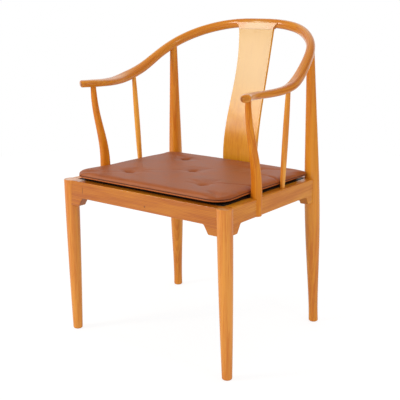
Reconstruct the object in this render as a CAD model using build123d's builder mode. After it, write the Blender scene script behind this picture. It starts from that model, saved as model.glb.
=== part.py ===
import math
import os

from build123d import *

os.makedirs("parts", exist_ok=True)

# An armchair with a horseshoe back. Millimetres, +Z up, the floor is z = 0, the sitter faces -Y
# and x = 0 is the plane of symmetry. Pieces are modelled on the right (+X) and mirrored.

# Seat frame: height at the front corners, fall toward the back in degrees, rails
seat_height = 420.1
seat_fall = 1.0
rail_height = 43.2
rail_thickness = 25.0
rail_edge_radius = 1.6

# Brackets cut in one with the rails, measured from the leg's centre
bracket_flat = 36.5
bracket_drop = 22.6
bracket_run = 13.5
bracket_toe_radius = 4.0
bracket_root_radius = 7.0

# Tenons of the rails in the legs
tenon_thickness = 9.0
tenon_height = 28.0
tenon_root = 30.0
tenon_stop = 5.5
joint_clearance = 0.1

# Front legs: centre at the floor, centre at the seat, radius by height
front_foot = (249.8, -242.2)
front_corner_place = (244.0, -249.7)
front_foot_radius = 12.5
front_shin_height = 140.0
front_shin_radius = 15.8
front_knee_height = 280.0
front_knee_radius = 18.0
front_corner_radius = 19.1
foot_edge_radius = 4.2
leg_edge_radius = 1.5

# Rear legs: straight on up as posts into the bow. The head is placed from the bow's fifth station, and
# the knee below, the low and the middle above the seat.
rear_foot = (242.1, 188.6)
post_bow_station = 4
post_head_shift = (5.2, -8.4, -12.9)
rear_foot_radius = 12.9
rear_shin_height = 190.0
rear_shin_radius = 17.4
rear_knee_drop = 40.1
rear_knee_radius = 20.0
post_low_rise = 49.9
post_low_radius = 18.2
post_middle_rise = 179.9
post_middle_radius = 14.2
post_head_radius = 9.9
post_scribe_length = 14.0
post_peg_radius = 6.0
post_peg_length = 24.0

# Bow: x, y and height above the seat of the centre, half-width, half-height, tilt of the flat in degrees,
# squareness
bow_stations = (
    (0.0, 255.2, 387.9, 12.5, 12.0, 0.0, 2.2),
    (64.0, 256.7, 386.0, 12.0, 12.3, 0.0, 2.2),
    (125.0, 244.7, 377.5, 11.4, 12.7, 0.0, 2.2),
    (178.5, 209.7, 360.1, 11.2, 12.8, 0.0, 2.2),
    (219.1, 161.1, 333.5, 11.4, 12.5, 4.0, 2.3),
    (240.5, 102.7, 299.5, 12.0, 11.5, 10.0, 2.5),
    (251.9, 45.0, 266.0, 14.0, 11.4, 14.0, 2.7),
    (257.4, -10.7, 246.9, 16.2, 10.2, 17.0, 2.8),
    (248.1, -65.1, 239.6, 16.2, 9.4, 10.0, 2.8),
    (239.6, -119.3, 238.7, 14.8, 9.0, 8.0, 2.7),
    (258.0, -191.5, 239.5, 12.4, 9.3, 7.0, 2.3),
)
arm_end_radius = 5.0
arm_end_wall_share = 0.54
section_points = 16
sections_per_span = 3
bow_joint_station = 3
bow_joint_share = 0.3
bow_dowel_radius = 2.8
bow_dowel_length = 44.0
bow_dowel_spacing = 11.0

# Haunch in one with the crest, which takes the head of the splat: heights above the seat
haunch_bottom_rise = 371.9
haunch_top_rise = 388.9
haunch_back = 256.7
haunch_flare = 15.0
haunch_brow = 6.0
haunch_brow_rise = 3.0
haunch_face_margin = 1.0
haunch_tuck = 8.5

# Splat: its front face at even heights above the seat, and its width with its height above the seat
splat_front = (165.2, 169.5, 186.9, 210.0, 228.7, 239.6)
splat_foot_half_width = 54.8
splat_middle_half_width = 53.7
splat_middle_rise = 123.9
splat_waist_half_width = 50.6
splat_waist_rise = 259.9
splat_head_half_width = 56.0
splat_thickness = 8.0
splat_tongue_depth = 11.0
splat_tongue_width = 96.0
splat_tongue_thickness = 4.0
splat_tongue_reach = 7.0

# Arm stiles: centre and radius at even heights from the seat to the bow
stile_x = (244.9, 244.2, 243.6, 242.8, 242.9)
stile_y = (-120.9, -124.5, -138.8, -154.1, -159.6)
stile_radius = (13.7, 12.3, 10.3, 8.7, 6.6)
stile_bow_station = 9
stile_head_rise = 1.9
stile_lap_radius = 13.2
stile_peg_radius = 4.0
stile_peg_length = 16.0

# Arm spindles
spindle_foot = (235.3, 11.8)
spindle_head = (249.0, 6.1)
spindle_foot_radius = 6.0
spindle_middle_radius = 7.5
spindle_head_radius = 5.3
spindle_peg_radius = 3.6
spindle_peg_length = 15.0

# Seat panel and the ledges it lies on
panel_thickness = 9.0
panel_gap = 1.0
panel_corner = 10.0
ledge_width = 15.0
ledge_height = 18.0
ledge_inset = 32.0

# Screws
screw_radius = 2.0
screw_head_radius = 4.0
screw_head_height = 2.4
screw_length = 28.0
ledge_screw_inset = 60.0
stile_screw_drop = 34.0

# Loose cushion, across the seat in x and along it in y
cushion_front_y = -254.3
cushion_shoulder_y = -139.3
cushion_rear_y = 142.0
cushion_front_half_width = 241.0
cushion_shoulder_half_width = 229.5
cushion_rear_half_width = 226.0
cushion_front_corner_radius = 45.0
cushion_rear_corner_radius = 10.0
cushion_least_corner_radius = 6.0
cushion_base_height = 8.0
cushion_base_inset = 14.0
cushion_height = 24.0
cushion_waist_radius = 400.0
cushion_edge_radius = 6.0
cushion_gap = 0.3
button_radius = 7.0
button_height = 4.0
button_depth = 8.0
button_clearance = 0.5
button_places = ((-120.0, -163.3), (120.0, -163.3), (0.0, -46.3), (-119.0, 69.7), (119.0, 69.7))

slope = math.tan(math.radians(seat_fall))
haunch_bottom = seat_height + haunch_bottom_rise
haunch_top = seat_height + haunch_top_rise
bow_right = [Vector(x, y, seat_height + rise) for x, y, rise, *_ in bow_stations]
post_head = bow_right[post_bow_station] + Vector(*post_head_shift)
stile_step = (bow_stations[stile_bow_station][2] + stile_head_rise) / (len(stile_radius) - 1)


def seat_level(y):
    return seat_height - (y - front_corner_place[1]) * slope


def front_leg_centre(z):
    share = z / seat_height
    x = front_foot[0] + (front_corner_place[0] - front_foot[0]) * share
    y = front_foot[1] + (front_corner_place[1] - front_foot[1]) * share
    return (x, y, z)


def rear_leg_centre(z):
    share = z / post_head.Z
    x = rear_foot[0] + (post_head.X - rear_foot[0]) * share
    y = rear_foot[1] + (post_head.Y - rear_foot[1]) * share
    return (x, y, z)


# Corners of the seat frame, on the centre lines of the legs at the top of the rails
front_corner = Vector(*front_leg_centre(seat_height))
post_rake = (post_head.Y - rear_foot[1]) / post_head.Z
rear_corner = Vector(*rear_leg_centre(seat_level(rear_foot[1]) / (1 + post_rake * slope)))
seat_up = Vector(0, slope, 1).normalized()
seat_plane = Plane(front_corner - Vector(front_corner.X, 0, 0), (1, 0, 0), seat_up)
side_axis = (rear_corner - front_corner).normalized()
side_normal = side_axis.cross(Vector(0, 0, 1)).normalized()
side_length = (rear_corner - front_corner).length
mid_rail = seat_up * (rail_height / 2)


# A turned member through circles, each given as x, y, z and radius
def round_member(stations):
    with BuildPart() as member:
        for x, y, z, radius in stations:
            with BuildSketch(Plane.XY.offset(z)):
                with Locations((x, y)):
                    Circle(radius)
        loft()
    return member.part


# A round peg that starts on the plane and runs along its normal
def peg(plane, radius, length):
    with BuildPart() as pin:
        with BuildSketch(plane):
            Circle(radius)
        extrude(amount=length)
    return pin.part


# A tenon along the plane's normal, which stops short of the leg's centre at the plane's origin
def tenon(plane, extra=0.0):
    with BuildPart() as tongue:
        with BuildSketch(plane.offset(-tenon_root)):
            Rectangle(tenon_thickness + 2 * extra, tenon_height + 2 * extra)
        extrude(amount=tenon_root - tenon_stop + extra)
    return tongue.part


# A countersunk screw along the plane's normal, its head flush with the plane
def screw(plane):
    with BuildPart() as fastener:
        with BuildSketch(plane):
            Circle(screw_head_radius)
        with BuildSketch(plane.offset(screw_head_height)):
            Circle(screw_radius)
        loft()
        with BuildSketch(plane.offset(screw_head_height)):
            Circle(screw_radius)
        extrude(amount=screw_length - screw_head_height)
    return fastener.part


# A rail with a bracket at each end. The plane's origin is one leg's centre at the rail's top.
def rail_blank(plane, length):
    low = -rail_height - bracket_drop
    with BuildPart() as blank:
        with BuildSketch(plane) as outline:
            with BuildLine():
                Polyline(
                    (0, 0),
                    (length, 0),
                    (length, low),
                    (length - bracket_flat, low),
                    (length - bracket_flat - bracket_run, -rail_height),
                    (bracket_flat + bracket_run, -rail_height),
                    (bracket_flat, low),
                    (0, low),
                    close=True,
                )
            make_face()
            roots = outline.vertices().filter_by(lambda v: math.isclose(v.Y, -rail_height))
            fillet(roots, bracket_root_radius)
            lowest = outline.vertices().filter_by(lambda v: math.isclose(v.Y, low))
            fillet(lowest.sort_by(Axis.X)[1:-1], bracket_toe_radius)
        extrude(amount=rail_thickness / 2, both=True)
        broad_faces = blank.faces().sort_by(Axis(plane.origin, plane.z_dir))
        rims = broad_faces[0].edges() + broad_faces[-1].edges()
        fillet(rims, rail_edge_radius)
    return blank.part


# Blanks of the legs, which the rails are coped to
front_leg_blank = round_member(
    (
        (*front_leg_centre(0), front_foot_radius),
        (*front_leg_centre(front_shin_height), front_shin_radius),
        (*front_leg_centre(front_knee_height), front_knee_radius),
        (*front_leg_centre(seat_height + leg_edge_radius), front_corner_radius),
    )
)
rear_leg_blank = round_member(
    (
        (*rear_leg_centre(0), rear_foot_radius),
        (*rear_leg_centre(rear_shin_height), rear_shin_radius),
        (*rear_leg_centre(seat_height - rear_knee_drop), rear_knee_radius),
        (*rear_leg_centre(seat_height + post_low_rise), post_low_radius),
        (*rear_leg_centre(seat_height + post_middle_rise), post_middle_radius),
        (*rear_leg_centre(post_head.Z + post_scribe_length), post_head_radius),
    )
)

# Tenons: the normal of each plane runs from the rail to the leg
front_tenon_plane = Plane(front_corner - mid_rail, (0, 1, 0), (1, 0, 0))
rear_tenon_plane = Plane(rear_corner - mid_rail, (0, 1, 0), (1, 0, 0))
side_front_tenon_plane = Plane(front_corner - mid_rail, (1, 0, 0), -side_axis)
side_rear_tenon_plane = Plane(rear_corner - mid_rail, (1, 0, 0), side_axis)

# Bow: the right half as one blank through sections, later cut into crest and arm
bow_left = [Vector(-point.X, point.Y, point.Z) for point in reversed(bow_right[1:])]
bow_line = Edge.make_spline(bow_left + bow_right)


# A section where the bow's line passes the point, its x pointing out of the horseshoe
def bow_section(share, shape):
    half_width, half_height, tilt, squareness = shape
    power = 2 / squareness
    points = []
    for step in range(section_points):
        angle = 2 * math.pi * step / section_points
        across = math.copysign(abs(math.cos(angle)) ** power, math.cos(angle))
        rise = math.copysign(abs(math.sin(angle)) ** power, math.sin(angle))
        points.append((half_width * across, half_height * rise))
    heading = bow_line.tangent_at(share)
    with BuildSketch(Plane(bow_line @ share, Vector(0, 0, 1).cross(heading), heading)) as section:
        with BuildLine(Plane.XY.rotated((0, 0, tilt))):
            Spline(*points, periodic=True)
        make_face()
    return section.sketch.face()


bow_sections = []
for index in range(len(bow_right) - 1):
    start = bow_line.param_at_point(bow_right[index])
    end = bow_line.param_at_point(bow_right[index + 1])
    for step in range(sections_per_span):
        part_way = step / sections_per_span
        shapes = zip(bow_stations[index][3:], bow_stations[index + 1][3:])
        shape = [before + (after - before) * part_way for before, after in shapes]
        bow_sections.append(bow_section(start + (end - start) * part_way, shape))
bow_sections.append(bow_section(1, bow_stations[-1][3:]))

with BuildPart() as bow_blank:
    loft(sections=bow_sections)
    arm_end_wall = bow_stations[-1][4] * arm_end_wall_share
    fillet(bow_blank.faces().sort_by(Axis.Y)[0].edges(), min(arm_end_radius, arm_end_wall))

# Where crest and arm meet: a frontal cut, and dowels along the bow on both sides of it
joint_before = bow_line.param_at_point(bow_right[bow_joint_station])
joint_after = bow_line.param_at_point(bow_right[bow_joint_station + 1])
joint_share = joint_before + (joint_after - joint_before) * bow_joint_share
joint_centre = bow_line @ joint_share
joint_heading = bow_line.tangent_at(joint_share)
joint_cut = Plane(joint_centre, (1, 0, 0), (0, 1, 0))
dowel_plane = Plane(
    joint_centre - joint_heading * (bow_dowel_length / 2), Vector(0, 0, 1).cross(joint_heading), joint_heading
)

with BuildPart() as bow_dowels:
    with BuildSketch(dowel_plane):
        with Locations((0, bow_dowel_spacing / 2), (0, -bow_dowel_spacing / 2)):
            Circle(bow_dowel_radius)
    extrude(amount=bow_dowel_length)
    mirror(about=Plane.YZ)

# Pegs on the posts, stiles and spindles, and the same with clearance for their holes
post_axis = (post_head - Vector(*rear_leg_centre(0))).normalized()
post_peg_plane = Plane(post_head - post_axis * (post_peg_length / 2), (1, 0, 0), post_axis)
stile_stations = [
    (x, y, seat_height + stile_step * step, radius)
    for step, (x, y, radius) in enumerate(zip(stile_x, stile_y, stile_radius))
]
stile_foot = Vector(stile_x[0], stile_y[0], seat_level(stile_y[0]) - rail_height)
stile_stations.insert(0, (*stile_foot, stile_lap_radius))
stile_head = Vector(*stile_stations[-1][:3])
stile_peg_plane = Plane(stile_head - Vector(0, 0, stile_peg_length), (1, 0, 0), (0, 0, 1))
spindle_low = Vector(*spindle_foot, seat_level(spindle_foot[1]))
spindle_high = Vector(*spindle_head, stile_head.Z + stile_radius[0])
spindle_axis = (spindle_high - spindle_low).normalized()
spindle_foot_plane = Plane(spindle_low - spindle_axis * spindle_peg_length, (1, 0, 0), spindle_axis)
spindle_head_plane = Plane(spindle_high - spindle_axis * spindle_peg_length, (1, 0, 0), spindle_axis)

# Screws that hold the stile laps and the ledges
stile_along = (stile_foot.Y - front_corner.Y) / side_axis.Y
rail_inside = side_normal * (rail_thickness / 2)
stile_screw_place = front_corner + side_axis * stile_along - seat_up * stile_screw_drop - rail_inside
stile_screw_plane = Plane(stile_screw_place, side_axis, side_normal)

with BuildPart() as stile_screws:
    add(screw(stile_screw_plane))
    mirror(about=Plane.YZ)

ledge_top = seat_up * -panel_thickness
ledge_middle = ledge_top - seat_up * (ledge_height / 2)
seat_back = seat_plane.y_dir
ledge_inward = rail_thickness / 2 + ledge_width
front_ledge_half = front_corner.X - ledge_inset
rear_ledge_half = rear_corner.X - ledge_inset
front_centre = Vector(0, front_corner.Y, front_corner.Z)
rear_centre = Vector(0, rear_corner.Y, rear_corner.Z)

with BuildPart() as ledge_screws:
    for x in (ledge_screw_inset - front_corner.X, front_corner.X - ledge_screw_inset):
        place = front_centre + Vector(x, 0, 0) + ledge_middle + seat_back * ledge_inward
        add(screw(Plane(place, (1, 0, 0), -seat_back)))
    for x in (ledge_screw_inset - rear_corner.X, rear_corner.X - ledge_screw_inset):
        place = rear_centre + Vector(x, 0, 0) + ledge_middle - seat_back * ledge_inward
        add(screw(Plane(place, (1, 0, 0), seat_back)))
    for along in (ledge_screw_inset, side_length - ledge_screw_inset):
        place = front_corner + side_axis * along + ledge_middle - side_normal * ledge_inward
        side_screw = screw(Plane(place, side_axis, side_normal))
        add(side_screw)
        mirror(side_screw, about=Plane.YZ)


def ledge(plane, half_length):
    with BuildPart() as strip:
        with BuildSketch(plane):
            Rectangle(2 * half_length, ledge_height)
        extrude(amount=ledge_width)
    return strip.part


# Rails
front_rail_plane = Plane(front_corner - Vector(2 * front_corner.X, 0, 0), (1, 0, 0), -seat_back)
rear_rail_plane = Plane(rear_corner - Vector(2 * rear_corner.X, 0, 0), (1, 0, 0), -seat_back)
side_rail_plane = Plane(front_corner, side_axis, side_normal)

with BuildPart() as front_rail:
    add(rail_blank(front_rail_plane, 2 * front_corner.X))
    add(front_leg_blank, mode=Mode.SUBTRACT)
    mirror(front_leg_blank, about=Plane.YZ, mode=Mode.SUBTRACT)
    add(tenon(front_tenon_plane))
    mirror(tenon(front_tenon_plane), about=Plane.YZ)
    add(ledge_screws.part, mode=Mode.SUBTRACT)

side_rail_whole = rail_blank(side_rail_plane, side_length)
spindle_foot_hole = peg(spindle_foot_plane, spindle_peg_radius + joint_clearance, 2 * spindle_peg_length)
with BuildPart() as side_rail_right:
    add(side_rail_whole)
    add(front_leg_blank, mode=Mode.SUBTRACT)
    add(rear_leg_blank, mode=Mode.SUBTRACT)
    add(tenon(side_front_tenon_plane))
    add(tenon(side_rear_tenon_plane))
    add(ledge_screws.part, mode=Mode.SUBTRACT)
    add(stile_screws.part, mode=Mode.SUBTRACT)
    add(spindle_foot_hole, mode=Mode.SUBTRACT)

with BuildPart() as rear_rail:
    add(rail_blank(rear_rail_plane, 2 * rear_corner.X))
    add(rear_leg_blank, mode=Mode.SUBTRACT)
    mirror(rear_leg_blank, about=Plane.YZ, mode=Mode.SUBTRACT)
    add(side_rail_right.part, mode=Mode.SUBTRACT)
    mirror(side_rail_right.part, about=Plane.YZ, mode=Mode.SUBTRACT)
    add(tenon(rear_tenon_plane))
    mirror(tenon(rear_tenon_plane), about=Plane.YZ)
    add(ledge_screws.part, mode=Mode.SUBTRACT)
    with BuildSketch(Plane.XY.offset(seat_height)):
        with Locations((0, splat_front[0] + splat_thickness / 2)):
            Rectangle(
                2 * (splat_foot_half_width + joint_clearance), splat_thickness + 2 * joint_clearance
            )
    extrude(amount=-(seat_height - rear_corner.Z + splat_tongue_depth), mode=Mode.SUBTRACT)

# Legs
with BuildPart() as front_leg_right:
    add(front_leg_blank)
    split(bisect_by=seat_plane, keep=Keep.BOTTOM)
    fillet(front_leg_right.faces().sort_by(Axis.Z)[-1].edges(), leg_edge_radius)
    fillet(front_leg_right.faces().sort_by(Axis.Z)[0].edges(), foot_edge_radius)
    add(tenon(front_tenon_plane, joint_clearance), mode=Mode.SUBTRACT)
    add(tenon(side_front_tenon_plane, joint_clearance), mode=Mode.SUBTRACT)

with BuildPart() as rear_leg_right:
    add(rear_leg_blank)
    fillet(rear_leg_right.faces().sort_by(Axis.Z)[0].edges(), foot_edge_radius)
    add(bow_blank.part, mode=Mode.SUBTRACT)
    add(peg(post_peg_plane, post_peg_radius, post_peg_length))
    add(tenon(rear_tenon_plane, joint_clearance), mode=Mode.SUBTRACT)
    add(tenon(side_rear_tenon_plane, joint_clearance), mode=Mode.SUBTRACT)

# Arm stile, half-lapped on the outside of the side rail, and arm spindle
with BuildPart() as arm_stile_right:
    add(round_member(stile_stations))
    add(bow_blank.part, mode=Mode.SUBTRACT)
    add(side_rail_whole, mode=Mode.SUBTRACT)
    add(stile_screws.part, mode=Mode.SUBTRACT)
    add(peg(stile_peg_plane, stile_peg_radius, stile_peg_length))

spindle_middle = (spindle_low + spindle_high) * 0.5
with BuildPart() as arm_spindle_right:
    add(
        round_member(
            (
                (*spindle_low, spindle_foot_radius),
                (*spindle_middle, spindle_middle_radius),
                (*spindle_high, spindle_head_radius),
            )
        )
    )
    add(bow_blank.part, mode=Mode.SUBTRACT)
    add(side_rail_whole, mode=Mode.SUBTRACT)
    add(peg(spindle_foot_plane, spindle_peg_radius, spindle_peg_length * 1.5))
    add(peg(spindle_head_plane, spindle_peg_radius, spindle_peg_length))

# Splat: its side view across the whole width, kept where its front view stands
splat_heights = [seat_height + (haunch_bottom - seat_height) * k / 5 for k in range(6)]
splat_bottom = rear_corner.Z - splat_tongue_depth + joint_clearance
head_lean = math.atan((splat_front[-1] - splat_front[-2]) / (splat_heights[-1] - splat_heights[-2]))
front_points = [(y, z) for y, z in zip(splat_front, splat_heights)]
back_points = [(y + splat_thickness, z) for y, z in front_points]
tongue_plane = Plane(
    (0, splat_front[-1] + splat_thickness / 2, haunch_bottom),
    (1, 0, 0),
    (0, math.sin(head_lean), math.cos(head_lean)),
)


def splat_tongue(extra=0.0):
    with BuildPart() as tongue:
        with BuildSketch(tongue_plane.offset(-splat_tongue_reach)):
            Rectangle(splat_tongue_width + 2 * extra, splat_tongue_thickness + 2 * extra)
        extrude(amount=2 * splat_tongue_reach + extra)
    return tongue.part


with BuildPart() as back_splat:
    with BuildSketch(Plane.YZ):
        with BuildLine():
            front_curve = Spline(*front_points)
            back_curve = Spline(*back_points)
            Line(front_curve @ 1, back_curve @ 1)
            Polyline(
                front_curve @ 0,
                (splat_front[0], splat_bottom),
                (splat_front[0] + splat_thickness, splat_bottom),
                back_curve @ 0,
            )
        make_face()
    extrude(amount=2 * splat_head_half_width, both=True)
    with BuildSketch(Plane.XZ):
        with BuildLine():
            right_edge = Spline(
                (splat_foot_half_width, rear_corner.Z),
                (splat_middle_half_width, seat_height + splat_middle_rise),
                (splat_waist_half_width, seat_height + splat_waist_rise),
                (splat_head_half_width, haunch_bottom),
            )
            Polyline(right_edge @ 0, (splat_foot_half_width, splat_bottom), (0, splat_bottom))
            Polyline(right_edge @ 1, (0, haunch_bottom))
            mirror(about=Plane.YZ)
        make_face()
    extrude(amount=-2 * haunch_back, mode=Mode.INTERSECT)
    add(splat_tongue())

# Crest with its haunch, and the arms
brow_y = splat_front[-1] + (haunch_top - haunch_bottom) * math.tan(head_lean)
with BuildPart() as haunch:
    with BuildSketch(Plane.YZ):
        with BuildLine():
            Polyline(
                (brow_y, haunch_top),
                (splat_front[-1], haunch_bottom),
                (haunch_back - haunch_brow / 2, haunch_bottom),
                (haunch_back, bow_right[0].Z),
                (brow_y + haunch_brow, haunch_top + haunch_brow_rise),
            )
            Spline(
                (brow_y + haunch_brow, haunch_top + haunch_brow_rise),
                (brow_y, haunch_top),
                tangents=((-1, -0.2), (-math.sin(head_lean), -math.cos(head_lean))),
            )
        make_face()
    extrude(amount=2 * splat_head_half_width, both=True)
    with BuildSketch(Plane.XZ):
        with BuildLine():
            Polyline(
                (0, haunch_bottom),
                (splat_head_half_width, haunch_bottom),
            )
            flare = CenterArc(
                (splat_head_half_width + haunch_flare, haunch_bottom), haunch_flare, 180, -90
            )
            Polyline(
                flare @ 1,
                (splat_head_half_width + haunch_flare, haunch_top + haunch_brow),
                (0, haunch_top + haunch_brow),
            )
            mirror(about=Plane.YZ)
        make_face()
    extrude(amount=-2 * haunch_back, mode=Mode.INTERSECT)
    # Its ends run back into the bow
    with BuildSketch(Plane.XY):
        with BuildLine():
            face_y = splat_front[-1] - haunch_face_margin
            face_line = Line((0, face_y), (splat_head_half_width, face_y))
            face_end = Spline(
                face_line @ 1,
                (splat_head_half_width + haunch_flare, haunch_back - haunch_tuck),
                tangents=((1, 0), (1, 1)),
            )
            Polyline(
                face_end @ 1,
                (splat_head_half_width + haunch_flare, 2 * haunch_back),
                (0, 2 * haunch_back),
            )
            mirror(about=Plane.YZ)
        make_face()
    extrude(amount=haunch_top + 2 * haunch_brow, mode=Mode.INTERSECT)

with BuildPart() as crest_rail:
    add(bow_blank.part)
    mirror(bow_blank.part, about=Plane.YZ)
    split(bisect_by=joint_cut, keep=Keep.TOP)
    add(haunch.part)
    add(splat_tongue(joint_clearance), mode=Mode.SUBTRACT)
    add(bow_dowels.part, mode=Mode.SUBTRACT)

with BuildPart() as arm_right:
    add(bow_blank.part)
    split(bisect_by=joint_cut, keep=Keep.BOTTOM)
    add(bow_dowels.part, mode=Mode.SUBTRACT)
    add(
        peg(post_peg_plane, post_peg_radius + joint_clearance, post_peg_length + joint_clearance),
        mode=Mode.SUBTRACT,
    )
    add(
        peg(stile_peg_plane, stile_peg_radius + joint_clearance, stile_peg_length + joint_clearance),
        mode=Mode.SUBTRACT,
    )
    add(
        peg(spindle_head_plane, spindle_peg_radius + joint_clearance, spindle_peg_length + joint_clearance),
        mode=Mode.SUBTRACT,
    )

# Seat panel, flush with the rails, and the ledges under it
panel_inset = rail_thickness / 2 + panel_gap
panel_front = panel_inset
panel_rear = (rear_corner - front_centre).dot(seat_back) - panel_inset


def inner_half_width(along, inset):
    return front_corner.X + side_axis.X / side_axis.Y * along - inset


with BuildPart() as seat_panel:
    with BuildSketch(seat_plane) as panel_outline:
        with BuildLine():
            Polyline(
                (0, panel_front),
                (inner_half_width(panel_front, panel_inset), panel_front),
                (inner_half_width(panel_rear, panel_inset), panel_rear),
                (0, panel_rear),
            )
            mirror(about=Plane.YZ)
        make_face()
        chamfer(panel_outline.vertices().filter_by(lambda v: abs(v.X) > 1), panel_corner)
    extrude(amount=-panel_thickness)

rail_half = seat_back * (rail_thickness / 2)
front_ledge_plane = Plane(front_centre + ledge_middle + rail_half, (1, 0, 0), seat_back)
rear_ledge_plane = Plane(rear_centre + ledge_middle - rail_half, (1, 0, 0), -seat_back)
side_ledge_plane = Plane(
    front_corner + side_axis * (side_length / 2) + ledge_middle - rail_inside, side_axis, -side_normal
)

with BuildPart() as front_ledge:
    add(ledge(front_ledge_plane, front_ledge_half))
    add(ledge_screws.part, mode=Mode.SUBTRACT)

with BuildPart() as rear_ledge:
    add(ledge(rear_ledge_plane, rear_ledge_half))
    add(ledge_screws.part, mode=Mode.SUBTRACT)

with BuildPart() as side_ledge_right:
    add(ledge(side_ledge_plane, side_length / 2 - ledge_inset))
    add(ledge_screws.part, mode=Mode.SUBTRACT)


# Loose cushion: a padded cover with tuft buttons on a thin dark base
def cushion_outline(inset):
    front = cushion_front_y - front_corner.Y + inset
    shoulder = cushion_shoulder_y - front_corner.Y
    rear = cushion_rear_y - front_corner.Y - inset
    with BuildSketch(seat_plane) as outline:
        with BuildLine():
            Polyline(
                (cushion_front_half_width - inset, front),
                (cushion_shoulder_half_width - inset, shoulder),
                (cushion_rear_half_width - inset, rear),
                (-cushion_rear_half_width + inset, rear),
                (-cushion_shoulder_half_width + inset, shoulder),
                (-cushion_front_half_width + inset, front),
                close=True,
            )
        make_face()
        for end, radius in ((front, cushion_front_corner_radius), (rear, cushion_rear_corner_radius)):
            corners = outline.vertices().filter_by(lambda v: math.isclose(v.Y, end))
            fillet(corners, max(radius - inset, cushion_least_corner_radius))
        waist = outline.vertices().filter_by(lambda v: math.isclose(v.Y, shoulder))
        fillet(waist, cushion_waist_radius)
    return outline.sketch


button_spots = [(x, y - front_corner.Y) for x, y in button_places]
button_floor = cushion_height - button_depth

with BuildPart() as cushion_base:
    add(cushion_outline(cushion_base_inset).moved(Location(seat_up * cushion_gap)))
    extrude(amount=cushion_base_height - cushion_gap)

with BuildPart() as cushion_pad:
    add(cushion_outline(0).moved(Location(seat_up * cushion_base_height)))
    extrude(amount=cushion_height - cushion_base_height)
    fillet(cushion_pad.faces().sort_by(Axis(seat_plane.origin, seat_up))[-1].edges(), cushion_edge_radius)
    with BuildSketch(seat_plane.offset(button_floor)):
        with Locations(*button_spots):
            Circle(button_radius + button_clearance)
    extrude(amount=button_depth, mode=Mode.SUBTRACT)

with BuildPart() as cushion_buttons:
    with BuildSketch(seat_plane.offset(button_floor)):
        with Locations(*button_spots):
            Circle(button_radius)
    extrude(amount=button_height)

middle_pieces = {
    "front_rail": front_rail,
    "rear_rail": rear_rail,
    "back_splat": back_splat,
    "crest_rail": crest_rail,
    "bow_dowels": bow_dowels,
    "stile_screws": stile_screws,
    "seat_panel": seat_panel,
    "front_ledge": front_ledge,
    "rear_ledge": rear_ledge,
    "ledge_screws": ledge_screws,
    "cushion_base": cushion_base,
    "cushion_pad": cushion_pad,
    "cushion_buttons": cushion_buttons,
}
right_pieces = {
    "front_leg": front_leg_right,
    "rear_leg": rear_leg_right,
    "side_rail": side_rail_right,
    "arm_stile": arm_stile_right,
    "arm_spindle": arm_spindle_right,
    "arm": arm_right,
    "side_ledge": side_ledge_right,
}

for name, piece in middle_pieces.items():
    piece.part.label = name
    export_step(piece.part, f"parts/{name}.step")

for name, piece in right_pieces.items():
    piece.part.label = f"{name}_right"
    export_step(piece.part, f"parts/{name}_right.step")
    with BuildPart() as left_piece:
        mirror(piece.part, about=Plane.YZ)
    left_piece.part.label = f"{name}_left"
    export_step(left_piece.part, f"parts/{name}_left.step")
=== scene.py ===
import math

import bmesh
import bpy
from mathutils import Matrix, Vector, noise
from mathutils.bvhtree import BVHTree


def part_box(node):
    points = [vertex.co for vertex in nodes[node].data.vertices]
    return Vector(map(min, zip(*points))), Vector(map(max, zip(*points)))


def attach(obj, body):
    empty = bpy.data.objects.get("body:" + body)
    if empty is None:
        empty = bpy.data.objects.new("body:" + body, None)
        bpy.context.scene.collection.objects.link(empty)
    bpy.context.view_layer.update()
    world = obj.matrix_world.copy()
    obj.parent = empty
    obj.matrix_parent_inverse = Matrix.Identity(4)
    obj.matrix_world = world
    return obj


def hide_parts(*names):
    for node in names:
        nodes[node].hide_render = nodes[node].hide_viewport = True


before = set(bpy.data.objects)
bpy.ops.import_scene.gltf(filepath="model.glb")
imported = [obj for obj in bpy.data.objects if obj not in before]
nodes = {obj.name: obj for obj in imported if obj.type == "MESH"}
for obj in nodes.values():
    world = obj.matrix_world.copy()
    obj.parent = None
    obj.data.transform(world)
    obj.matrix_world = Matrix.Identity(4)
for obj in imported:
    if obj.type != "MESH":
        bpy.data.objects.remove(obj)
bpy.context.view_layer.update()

print("frame loaded:", len(nodes), "nodes")

mm = 0.001


def paint(hexColour):  # sRGB hex to linear RGBA
    shares = [int(hexColour[at:at + 2], 16) / 255 for at in (1, 3, 5)]
    linear = [s / 12.92 if s <= 0.04045 else ((s + 0.055) / 1.055) ** 2.4 for s in shares]
    return (*linear, 1.0)


def perMetre(lengthMm):
    return 1 / (lengthMm * mm)


def addNode(tree, kind, settings=None, inputs=None):
    node = tree.nodes.new(kind)
    for name, value in (settings or {}).items():
        setattr(node, name, value)
    for name, value in (inputs or {}).items():
        if isinstance(value, bpy.types.Node):
            value = value.outputs[0]
        if isinstance(value, bpy.types.NodeSocket):  # linked; anything else is set
            tree.links.new(value, node.inputs[name])
        else:
            node.inputs[name].default_value = value
    return node


# settings that nodes share; a Map Range takes its value at 0, the range it comes from at 1 and 2, and what it
# gives at 3 and 4
plain = {}
eased = {"interpolation_type": "SMOOTHSTEP"}
multiply = {"operation": "MULTIPLY"}
subtract = {"operation": "SUBTRACT"}
divide = {"operation": "DIVIDE"}
least = {"operation": "MINIMUM"}
magnitude = {"operation": "ABSOLUTE"}
length = {"operation": "LENGTH"}
addUpToOne = {"operation": "ADD", "use_clamp": True}
mixColours = {"data_type": "RGBA"}  # its colours are at 6 and 7, and the mixed one at output 2


def newMaterial(name):
    material = bpy.data.materials.new(name)
    material.use_nodes = True
    material.node_tree.nodes.clear()
    return material, material.node_tree


def dress(name, material):  # a CAD node keeps its mesh and takes a new finish
    data = nodes[name].data
    data.materials.clear()
    data.materials.append(material)


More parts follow.
